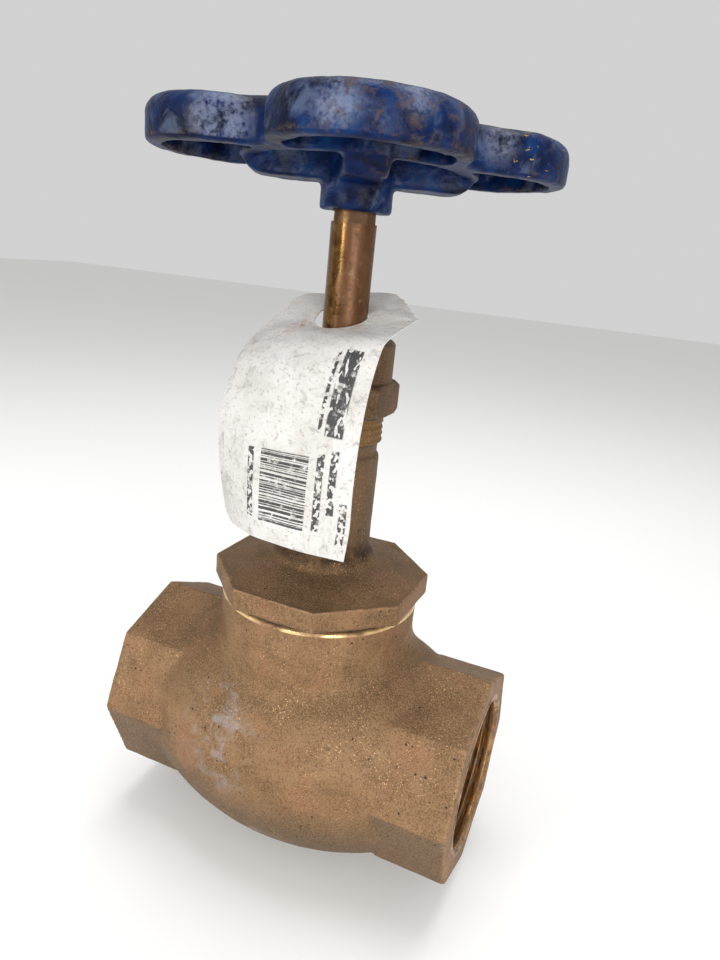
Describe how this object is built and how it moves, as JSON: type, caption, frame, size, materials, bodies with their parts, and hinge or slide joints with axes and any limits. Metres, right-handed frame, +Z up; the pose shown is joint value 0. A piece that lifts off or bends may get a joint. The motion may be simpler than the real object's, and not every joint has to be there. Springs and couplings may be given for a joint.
{
  "type": "flow control valve",
  "caption": "Screwed-end bronze globe valve with octagonal ends, screw-in bonnet, rising stem, lobed handwheel and a hang tag.",
  "frame": {"origin": "centre of the inlet port's end face", "axes": "+X along the flow, from the inlet port to the outlet port; +Z up along the stem; the stem axis is at x = 58.5 mm"},
  "size_m": [0.117, 0.1042, 0.2216],
  "materials": {
    "cast_bronze": "rough sand-cast bronze, dull brown",
    "bonnet_bronze": "rough sand-cast bronze, dull brown",
    "nut_bronze": "tarnished machined bronze",
    "stem_bronze": "polished bronze with heat-coloured stains",
    "turned_brass": "turned brass",
    "packing_fibre": "graphited fibre packing",
    "seat_plastic": "white fluoroplastic",
    "wheel_enamel": "worn dark blue enamel over cast iron",
    "plate_aluminium": "thin pressed sheet",
    "nut_steel": "zinc plated",
    "tag_card": "coated white card, grubby"
  },
  "bodies": {
    "valve_body": {"valve_body": "cast_bronze", "bonnet": "bonnet_bronze", "packing_nut": "nut_bronze", "packing_gland": "turned_brass", "packing_ring_lower": "packing_fibre", "packing_ring_middle": "packing_fibre", "packing_ring_upper": "packing_fibre"},
    "disc_carrier": {"disc_holder": "turned_brass", "horseshoe_ring": "turned_brass", "seat_disc": "seat_plastic", "seat_disc_nut": "turned_brass"},
    "stem_and_wheel": {"stem": "stem_bronze", "handwheel": "wheel_enamel", "identification_plate": "plate_aluminium", "handwheel_nut": "nut_steel"},
    "tag": {"hang_tag": "tag_card"}
  },
  "joints": [
    {"name": "disc_lift", "type": "slide", "parent": "valve_body", "child": "disc_carrier", "axis": [0, 0, 1], "range_m": [-0.01271, 0]},
    {"name": "wheel_turn", "type": "hinge", "parent": "disc_carrier", "child": "stem_and_wheel", "pos_m": [0.0585, 0, 0], "axis": [0, 0, 1], "range_deg": [-1440, 0]},
    {"name": "tag_swivel", "type": "hinge", "parent": "valve_body", "child": "tag", "pos_m": [0.0585, 0, 0.126], "axis": [0, 0, 1], "continuous": true}
  ],
  "couplings": [
    {"joint": "disc_lift", "follows": "wheel_turn", "m_per_rad": 0.00050532}
  ]
}
